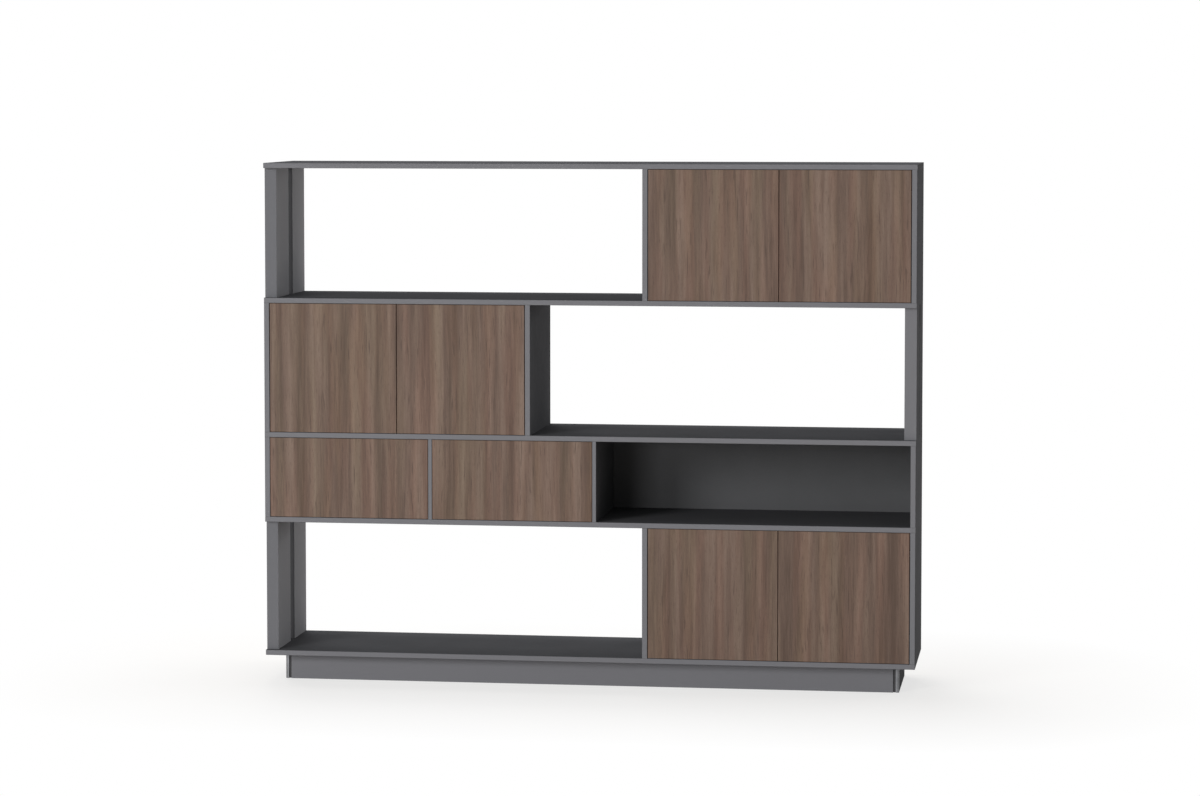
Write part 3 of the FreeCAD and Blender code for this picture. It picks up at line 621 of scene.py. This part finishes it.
def plate_and_arm_screws():
    """Screws through each mounting plate, and the two adjusting screws on each hinge arm."""
    plates = solid_boxes("hinge_plates")
    arms = solid_boxes("hinge_arms")
    plate_spots = []
    arm_spots = []
    for (low, high), (arm_low, arm_high) in zip(plates, arms):
        middle = (low + high) / 2
        arm_is_right = (arm_low.x + arm_high.x) / 2 > middle.x
        face = high.x if arm_is_right else low.x
        outward = TO_THE_RIGHT if arm_is_right else TO_THE_LEFT
        crest = face + outward[0] * ARM_CREST_RISE
        for height in (low.z + PLATE_SCREW_INSET, high.z - PLATE_SCREW_INSET):
            plate_spots.append(((face, middle.y, height), outward))
        for inset in ARM_SCREW_INSETS:
            arm_spots.append(((crest, arm_high.y - inset, middle.z), outward))
    screws("hinge_plate_screws", "cabinet", plate_spots, PLATE_SCREW_RADIUS)
    screws("hinge_arm_screws", "cabinet", arm_spots, ARM_SCREW_RADIUS)


def latch_screws():
    """A screw up through each ear of the latch housings."""
    spots = []
    for low, high in solid_boxes("latch_housings"):
        middle = (low + high) / 2
        for across in (low.x + LATCH_EAR_INSET, high.x - LATCH_EAR_INSET):
            spots.append(((across, middle.y, high.z - LATCH_EAR_THICKNESS), DOWN))
    screws("latch_screws", "cabinet", spots, LATCH_SCREW_RADIUS)


def runner_screws():
    """Screws from the drawers' inner runner members into the drawer sides."""
    for drawer in ("left_drawer", "right_drawer"):
        left, right = solid_boxes(f"{drawer}_inner_runners")
        faces = ((left[1].x - RUNNER_SHEET, TO_THE_LEFT), (right[0].x + RUNNER_SHEET, TO_THE_RIGHT))
        height = (left[0].z + left[1].z) / 2
        spots = []
        for face, outward in faces:
            for inset in RUNNER_SCREW_INSETS:
                spots.append(((face, left[0].y + inset, height), outward))
        screws(f"{drawer}_runner_screws", drawer, spots, RUNNER_SCREW_RADIUS)


def groove_painted_shade_strips():
    """Painted shade: a dark strip in the bottom of both grooves of each corner profile of the plinth,
    standing in for the shadow there.
    """
    strips = bmesh.new()
    for low, high in solid_boxes("plinth_corners"):
        outer_x, inward_x = (low.x, 1.0) if low.x < 0.0 else (high.x, -1.0)
        outer_y, inward_y = (low.y, 1.0) if low.y < 0.0 else (high.y, -1.0)
        z_span = (low.z + GROOVE_END_PLAY, high.z - GROOVE_END_PLAY)
        for x_span, y_span in ((GROOVE_ALONG, GROOVE_STRIP_DEPTH), (GROOVE_STRIP_DEPTH, GROOVE_ALONG)):
            first, last = [Vector((outer_x + inward_x * x, outer_y + inward_y * y, z))
                           for x, y, z in zip(x_span, y_span, z_span)]
            size = Matrix.Diagonal([abs(part) for part in last - first]).to_4x4()
            bmesh.ops.create_cube(strips, size=1.0, matrix=Matrix.Translation((first + last) / 2) @ size)
    mesh = bpy.data.meshes.new("plinth_groove_painted_shade")
    strips.to_mesh(mesh)
    strips.free()
    mesh.materials.append(groove_painted_shade_finish())
    piece = bpy.data.objects.new("plinth_groove_painted_shade", mesh)
    scene.collection.objects.link(piece)
    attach(piece, "cabinet")


# Floor: its size, its mottle in cells to the metre, and how it runs out to white beside the cabinet.
FLOOR_HALF = 40.0
FLOOR_DROP = 0.2 * MM
FLOOR_MOTTLE = 6.0
FLOOR_SHADE_SHARE = 0.97
FLOOR_ROUGHNESS = 0.8
FLOOR_SPECULAR = 0.1
SHADOW_REACH = (0.05, 0.9)
SHADOW_FADE = (0.70, 1.0)


def seen_rays(tree):
    """1 for rays that show the background: from the camera, off gloss and through glass."""
    rays = node(tree, "ShaderNodeLightPath").outputs
    gloss_or_glass = math_node(tree, "MAXIMUM", rays["Is Glossy Ray"], rays["Is Transmission Ray"])
    return math_node(tree, "MAXIMUM", rays["Is Camera Ray"], gloss_or_glass)


def floor_finish():
    """Pale floor that keeps the cabinet's shadow near it and runs out to white."""
    finish, tree, shader = new_finish("pale_floor")
    place = object_place(tree)
    mottle = even_noise(tree, place, FLOOR_MOTTLE, detail=4.0)
    shade = toned(FLOOR_PALE, FLOOR_SHADE_SHARE)
    mottled = mixed(tree, rescaled(tree, mottle, NOISE_WIDE), shade, FLOOR_PALE)
    tree.links.new(mottled, shader.inputs["Base Color"])
    shader.inputs["Roughness"].default_value = FLOOR_ROUGHNESS
    shader.inputs["Specular IOR Level"].default_value = FLOOR_SPECULAR
    # How far a point of the floor lies outside the cabinet's footprint.
    half = (cad_box[1] - cad_box[0]) / 2
    spread = vector_node(tree, "ABSOLUTE", place).outputs["Vector"]
    outside = vector_node(tree, "SUBTRACT", spread, (half.x, half.y, 0.0)).outputs["Vector"]
    clipped = vector_node(tree, "MAXIMUM", outside, (0.0, 0.0, 0.0)).outputs["Vector"]
    away = vector_node(tree, "LENGTH", clipped).outputs["Value"]
    fade = rescaled(tree, away, SHADOW_REACH, SHADOW_FADE)
    shown = math_node(tree, "MULTIPLY", fade, seen_rays(tree))
    white = node(tree, "ShaderNodeEmission", {"Color": opaque(WHITE), "Strength": 1.0})
    surface = node(tree, "ShaderNodeMixShader",
                   {0: shown, 1: shader.outputs["BSDF"], 2: white.outputs["Emission"]})
    tree.links.new(surface.outputs["Shader"], tree.nodes["Material Output"].inputs["Surface"])
    return finish


def studio_floor():
    """A wide flat floor just under the plinth."""
    mesh = bpy.data.meshes.new("studio_floor")
    corners = [(FLOOR_HALF * x, FLOOR_HALF * y, -FLOOR_DROP) for x, y in ((-1, -1), (1, -1), (1, 1), (-1, 1))]
    mesh.from_pydata(corners, [], [(0, 1, 2, 3)])
    mesh.materials.append(floor_finish())
    floor = bpy.data.objects.new("studio_floor", mesh)
    scene.collection.objects.link(floor)


# Strength of the even light all round.
WORLD_LIGHT = 0.24

# Soft lamps around the cabinet: place, width and height, and power in watts.
SOFTBOXES = {
    "key_softbox": ((-9.6, -14.4, 5.2), (4.8, 4.8), 1480),
    "front_softbox": ((-4.0, -16.0, 1.8), (4.0, 3.0), 600),
    "right_softbox": ((7.0, 0.0, 3.0), (3.0, 2.0), 25),
    "back_softbox": ((-1.5, 6.0, 6.5), (4.0, 3.0), 240),
    "left_back_softbox": ((-3.4, 6.5, 1.5), (4.0, 1.5), 330),
    "right_back_softbox": ((5.5, 6.5, 1.5), (4.0, 1.5), 180),
    "top_softbox": ((0.0, 0.6, 5.2), (3.0, 1.4), 70),
}


def studio_world():
    """Even light all round, and a white background."""
    world = bpy.data.worlds.new("studio")
    world.use_nodes = True
    scene.world = world
    tree = world.node_tree
    even = tree.nodes["Background"]
    even.inputs["Color"].default_value = opaque(WHITE)
    even.inputs["Strength"].default_value = WORLD_LIGHT
    white = node(tree, "ShaderNodeBackground", {"Color": opaque(WHITE), "Strength": 1.0})
    mix = node(tree, "ShaderNodeMixShader",
               {0: seen_rays(tree), 1: even.outputs["Background"], 2: white.outputs["Background"]})
    tree.links.new(mix.outputs["Shader"], tree.nodes["World Output"].inputs["Surface"])


def softbox(name, place, target, size, power):
    """A large soft lamp at a place, turned to a target."""
    lamp = bpy.data.lights.new(name, "AREA")
    lamp.shape = "RECTANGLE"
    lamp.size, lamp.size_y = size
    lamp.energy = power
    holder = bpy.data.objects.new(name, lamp)
    holder.location = place
    holder.rotation_mode = "QUATERNION"
    holder.rotation_quaternion = (Vector(target) - Vector(place)).to_track_quat("-Z", "Y")
    scene.collection.objects.link(holder)


def studio_lights():
    """The soft lamps, all turned to the cabinet's middle."""
    middle = (cad_box[0] + cad_box[1]) / 2
    for name, (place, size, power) in SOFTBOXES.items():
        softbox(name, place, middle, size, power)


# The photograph's view: a camera to the right of the middle, a little above the top board.
# Turn and tilt are in degrees, lens and sensor in millimetres, and the shift is a share of the frame's width.
CAMERA_PLACE = (1.4995, -10.4506, 1.7888)
CAMERA_TURN_LEFT = 8.086
CAMERA_TILT_DOWN = 3.357
CAMERA_LENS = 102.68
CAMERA_SENSOR = 36.0
CAMERA_SHIFT_Y = -0.08
CAMERA_CLIP_END = 200.0


def photo_camera():
    """The camera at the photograph's angle."""
    lens = bpy.data.cameras.new("photo_camera")
    lens.lens = CAMERA_LENS
    lens.sensor_width = CAMERA_SENSOR
    lens.sensor_fit = "HORIZONTAL"
    lens.shift_y = CAMERA_SHIFT_Y
    lens.clip_end = CAMERA_CLIP_END
    camera = bpy.data.objects.new("photo_camera", lens)
    camera.location = CAMERA_PLACE
    camera.rotation_euler = (math.radians(90 - CAMERA_TILT_DOWN), 0.0, math.radians(CAMERA_TURN_LEFT))
    scene.collection.objects.link(camera)
    scene.camera = camera


dress_frame()
cup_screws()
plate_and_arm_screws()
latch_screws()
runner_screws()
groove_painted_shade_strips()
studio_floor()
studio_world()
studio_lights()
photo_camera()
scene.view_settings.view_transform = "Standard"
